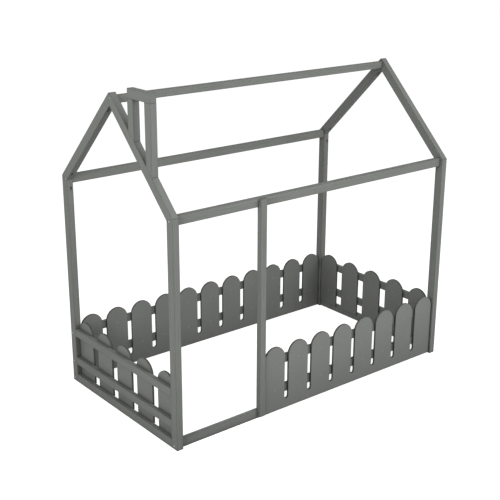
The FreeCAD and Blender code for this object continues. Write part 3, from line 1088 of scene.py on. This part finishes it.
@dataclass
class Fixings:
    """Bolts, cross nuts, screws and dowels that hold the bed together."""

    bright: Steel = field(default_factory=Steel)
    black: Steel = Steel(name="blackened_steel", colour=(0.055, 0.056, 0.06), dullness=0.52)
    beech: BareBeech = field(default_factory=BareBeech)
    bolt: Bolt = field(default_factory=Bolt)
    nut: CrossNut = field(default_factory=CrossNut)
    screw: WoodScrew = WoodScrew(shank=6.0, head=11.0, head_high=4.0, pitch=2.6)
    short_screw: WoodScrew = WoodScrew(shank=5.0, head=9.0, head_high=3.0)
    dowel: Dowel = field(default_factory=Dowel)

    def swap(self, nodes: tuple[str, ...], model: Maker, material: Material) -> None:
        """Swap plain groups of one kind of fixing for turned ones in the same places.

        Args:
            nodes: Names of the group nodes.
            model: Function that makes one fixing of a length in millimetres.
            material: The finish.
        """
        for node in nodes:
            spots = find_spots(node)
            piece = place_group(f"{node}_turned", model, spots)
            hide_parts(node)
            paint_over(piece, material)
            log.info("%s: %d pieces turned", node, len(spots))

    def build(self) -> None:
        """Swap every group: zinc on bolts and nuts, black steel on screws, bare wood on dowels."""
        bright, black, wood = self.bright.material(), self.black.material(), self.beech.material()
        long_sticks = ("beam", "sill", "rail")
        bolts = tuple(f"{stick}_bolts" for stick in long_sticks)
        nuts = tuple(f"{stick}_cross_nuts" for stick in long_sticks)
        screws = ("eave_joint_screws", "apex_joint_screws", "chimney_screws")
        self.swap(bolts, self.bolt.model, bright)
        self.swap(nuts, self.nut.model, bright)
        self.swap(screws, self.screw.model, black)
        self.swap(("middle_post_screws",), self.short_screw.model, black)
        self.swap(("end_rail_dowels", "chimney_dowels"), self.dowel.model, wood)


@dataclass
class FencePanel:
    """One board of the fence, with the small screws that hold each picket to its two rails."""

    side: Side
    pickets: int
    paint: PaintedBoard
    metal: Material
    picket_wide: float = 145 * MM
    screw_long: float = 28 * MM
    screw_inward: float = 5 * MM
    screw_proud: float = 0.5 * MM
    eased_edge: float = 1.2 * MM
    flat_angle: float = math.radians(0.5)
    edge_angle: float = math.radians(40.0)
    screw: WoodScrew = WoodScrew(shank=3.6, head=7.6, head_high=2.2, pitch=1.6, dome=0.7)

    def reach(self) -> tuple[Vector, Vector]:
        """Lowest and highest corner of the board.

        Returns:
            Both corners.
        """
        low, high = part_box(f"fence_panel_{self.side.value}")
        return Vector(low), Vector(high)

    def board(self) -> Piece:
        """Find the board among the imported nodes.

        Returns:
            The board.
        """
        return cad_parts[f"fence_panel_{self.side.value}"]

    def screw_spots(self) -> list[Spot]:
        """Work out the screws' places from the board and the boxes of its rails.

        Returns:
            Two spots for each picket.
        """
        low, high = self.reach()
        along = 0 if self.side in (Side.FRONT, Side.BACK) else 1
        facing = self.side.facing
        across = 1 - along
        face = low[across] if facing[across] < 0 else high[across]
        first = low[along] + self.picket_wide / 2
        pitch = (high[along] - low[along] - self.picket_wide) / (self.pickets - 1)
        spots = []
        for level, inward in (("middle", self.screw_inward), ("top", -self.screw_inward)):
            rail_low, rail_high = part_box(f"rail_{self.side.value}_{level}")
            for picket in range(self.pickets):
                head = Vector((0.0, 0.0, (rail_low[2] + rail_high[2]) / 2 + inward))
                head[along] = first + pitch * picket
                head[across] = face + facing[across] * self.screw_proud
                spots.append(Spot(head=head, tip=head - facing * self.screw_long))
        return spots

    def build(self) -> None:
        """Paint the board and drive its screws."""
        panel = self.board()
        ease_edges(panel, self.eased_edge, self.flat_angle, self.edge_angle)
        paint_over(panel, self.paint.material(self.side))
        spots = self.screw_spots()
        screws = place_group(f"fence_screws_{self.side.value}", self.screw.model, spots)
        paint_over(screws, self.metal)
        log.info("fence %s: %d pickets, %d screws", self.side.value, self.pickets, len(spots))


@dataclass
class EndPickets(FencePanel):
    """The pickets at one end of the bed: the slots between them are open down to the bottom rail."""

    picket_wide: float = 152 * MM
    post_gap: float = 6 * MM
    tuck: float = 8 * MM
    crown_steps: int = 36

    def reach(self) -> tuple[Vector, Vector]:
        """Lowest and highest corner of the row of pickets, between the posts.

        The pickets' feet are tucked a little behind the bottom rail's top edge.

        Returns:
            Both corners.
        """
        low, high = super().reach()
        end = self.side.value
        low.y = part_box(f"post_front_{end}")[1][1] + self.post_gap
        high.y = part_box(f"post_back_{end}")[0][1] - self.post_gap
        low.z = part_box(f"sill_{end}")[1][2] - self.tuck
        return low, high

    def board(self) -> Piece:
        """Saw the pickets, each with a round crown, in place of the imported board.

        Returns:
            The row of pickets.
        """
        low, high = self.reach()
        radius = self.picket_wide / 2
        pitch = (high.y - low.y - self.picket_wide) / (self.pickets - 1)
        turns = [math.pi * step / self.crown_steps for step in range(self.crown_steps + 1)]
        crown = [(radius * math.cos(turn), high.z - radius + radius * math.sin(turn)) for turn in turns]
        outline = [(-radius, low.z), (radius, low.z), *crown]
        work = bmesh.new()
        for picket in range(self.pickets):
            middle = low.y + radius + pitch * picket
            faces = [[work.verts.new((x, middle + y, z)) for y, z in outline] for x in (low.x, high.x)]
            for face in faces:
                work.faces.new(face)
            near, far = faces
            for corner in range(len(outline)):
                after = (corner + 1) % len(outline)
                work.faces.new((near[corner], near[after], far[after], far[corner]))
        bmesh.ops.recalc_face_normals(work, faces=work.faces)
        row = stand_up(f"fence_pickets_{self.side.value}", work)
        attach(row, BODY)
        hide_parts(f"fence_panel_{self.side.value}")
        return row


@dataclass(frozen=True)
class SoftBox:
    """One large soft light: where it hangs, the point that it faces, its size in metres and its watts."""

    name: str
    place: Triple
    aim: Triple
    size: Pair
    power: float

    def hang(self) -> None:
        """Hang the light in the scene."""
        lamp = bpy.data.lights.new(self.name, "AREA")
        lamp.shape = "RECTANGLE"
        lamp.size, lamp.size_y = self.size
        lamp.energy = self.power
        holder = bpy.data.objects.new(self.name, lamp)
        holder.location = self.place
        view = Vector(self.aim) - holder.location
        holder.rotation_euler = view.to_track_quat("-Z", "Y").to_euler()
        bpy.context.scene.collection.objects.link(holder)


@dataclass
class Studio:
    """White studio: pale floor, a soft light from the front, one from the left end, and the camera."""

    lights: tuple[SoftBox, ...] = (
        SoftBox("front_soft_box", (0.9, -4.6, 3.0), aim=(0.3, 0.0, 1.0), size=(4.4, 2.4), power=154.0),
        SoftBox("end_soft_box", (-5.2, -1.7, 2.9), aim=(0.0, 0.0, 1.1), size=(2.4, 2.4), power=156.0),
    )
    floor_size: float = 60.0
    floor_colour: Triple = (0.20, 0.20, 0.20)
    floor_seen: Triple = (0.9, 0.9, 0.9)
    floor_lift: float = 0.80
    sky: float = 0.24
    camera_place: Triple = (-3.5945, -4.3530, 2.6878)
    camera_heading: float = 51.0709
    camera_dip: float = 18.9258
    camera_roll: float = 0.2203
    focal_length: float = 72.2126
    film_width: float = 36.0
    farthest_seen: float = 100.0

    def floor(self) -> None:
        """Lay the floor: it bounces a little light, keeps the shadow and looks white to the camera."""
        work = bmesh.new()
        bmesh.ops.create_grid(work, x_segments=1, y_segments=1, size=self.floor_size / 2)
        floor = stand_up("studio_floor", work)
        bench = NodeBench(bpy.data.materials.new("studio_floor_paint"))
        bounce = bench.add("ShaderNodeBsdfDiffuse")
        bench.feed(bounce.inputs["Color"], (*self.floor_colour, 1.0))
        seen = bench.add("ShaderNodeBsdfDiffuse")
        bench.feed(seen.inputs["Color"], (*self.floor_seen, 1.0))
        lift = bench.add("ShaderNodeEmission")
        bench.feed(lift.inputs["Strength"], self.floor_lift)
        white = bench.add("ShaderNodeAddShader")
        bench.feed(white.inputs[0], seen.outputs[0])
        bench.feed(white.inputs[1], lift.outputs[0])
        choice = bench.add("ShaderNodeMixShader")
        bench.feed(choice.inputs[0], self.seen_straight(bench))
        bench.feed(choice.inputs[1], bounce.outputs[0])
        bench.feed(choice.inputs[2], white.outputs[0])
        bench.feed(bench.output.inputs["Surface"], choice.outputs[0])
        floor.data.materials.append(bench.owner)
        floor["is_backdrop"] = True

    def seen_straight(self, bench: NodeBench) -> Socket:
        """Mask of the rays that come from the camera, or from it by way of metal or glass.

        Args:
            bench: Bench of the material or world.

        Returns:
            Socket that is 1 for such a ray.
        """
        rays = bench.add("ShaderNodeLightPath")
        near = bench.reckon("MAXIMUM", rays.outputs["Is Camera Ray"], rays.outputs["Is Glossy Ray"])
        return bench.reckon("MAXIMUM", near, rays.outputs["Is Transmission Ray"])

    def sky_light(self) -> None:
        """Light the scene evenly from all round, behind a white background."""
        world = bpy.data.worlds.new("studio_white")
        bench = NodeBench(world, "ShaderNodeOutputWorld")
        strength = bench.add("ShaderNodeMapRange")
        bench.feed(strength.inputs["To Min"], self.sky)
        bench.feed(strength.inputs["To Max"], 1.0)
        bench.feed(strength.inputs["Value"], self.seen_straight(bench))
        background = bench.add("ShaderNodeBackground")
        bench.feed(background.inputs["Color"], (1.0, 1.0, 1.0, 1.0))
        bench.feed(background.inputs["Strength"], strength.outputs["Result"])
        bench.feed(bench.output.inputs["Surface"], background.outputs[0])
        bpy.context.scene.world = world

    def camera(self) -> None:
        """Set up the camera where the photograph was taken from."""
        data = bpy.data.cameras.new("photo_camera")
        data.sensor_width = self.film_width
        data.lens = self.focal_length
        data.clip_end = self.farthest_seen
        holder = bpy.data.objects.new("photo_camera", data)
        heading = math.radians(self.camera_heading - 90.0)
        level = math.radians(90.0 - self.camera_dip)
        turn = Matrix.Rotation(heading, 3, "Z") @ Matrix.Rotation(level, 3, "X")
        turn = turn @ Matrix.Rotation(math.radians(self.camera_roll), 3, "Z")
        holder.rotation_euler = turn.to_euler()
        holder.location = self.camera_place
        bpy.context.scene.collection.objects.link(holder)
        bpy.context.scene.camera = holder

    def build(self) -> None:
        """Set up floor, light and camera."""
        self.floor()
        self.sky_light()
        for light in self.lights:
            light.hang()
        self.camera()
        bpy.context.scene.view_settings.view_transform = "Standard"
        log.info("studio ready")


def keep_sizes() -> None:
    boxes = {"packed": packed_box, "scene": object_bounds()}
    plain = {name: [list(corner) for corner in box] for name, box in boxes.items()}


def main() -> None:
    """Dress the bed, sub-assembly by sub-assembly, and set up the picture."""
    logging.basicConfig(level=logging.INFO, format="%(name)s: %(message)s")
    Joinery().dress()
    Fixings().build()
    # painted light and shade: the front board gets a lighter copy of the paint, and the back board, shaded
    # inside the bed, a darker copy
    front_coat_painted_light = PaintedBoard(colour=(0.232, 0.242, 0.227))
    back_coat_painted_shade = PaintedBoard(colour=(0.203, 0.211, 0.197))
    heads = Steel(name="painted_screw_heads", colour=(0.42, 0.43, 0.42), metallic=0.2, dullness=0.42)
    metal = heads.material()
    FencePanel(side=Side.FRONT, pickets=8, paint=front_coat_painted_light, metal=metal).build()
    FencePanel(side=Side.BACK, pickets=11, paint=back_coat_painted_shade, metal=metal).build()
    for side in (Side.LEFT, Side.RIGHT):
        EndPickets(side=side, pickets=5, paint=PaintedBoard(), metal=metal).build()
    Studio().build()
    keep_sizes()


if __name__ == "__main__":
    main()
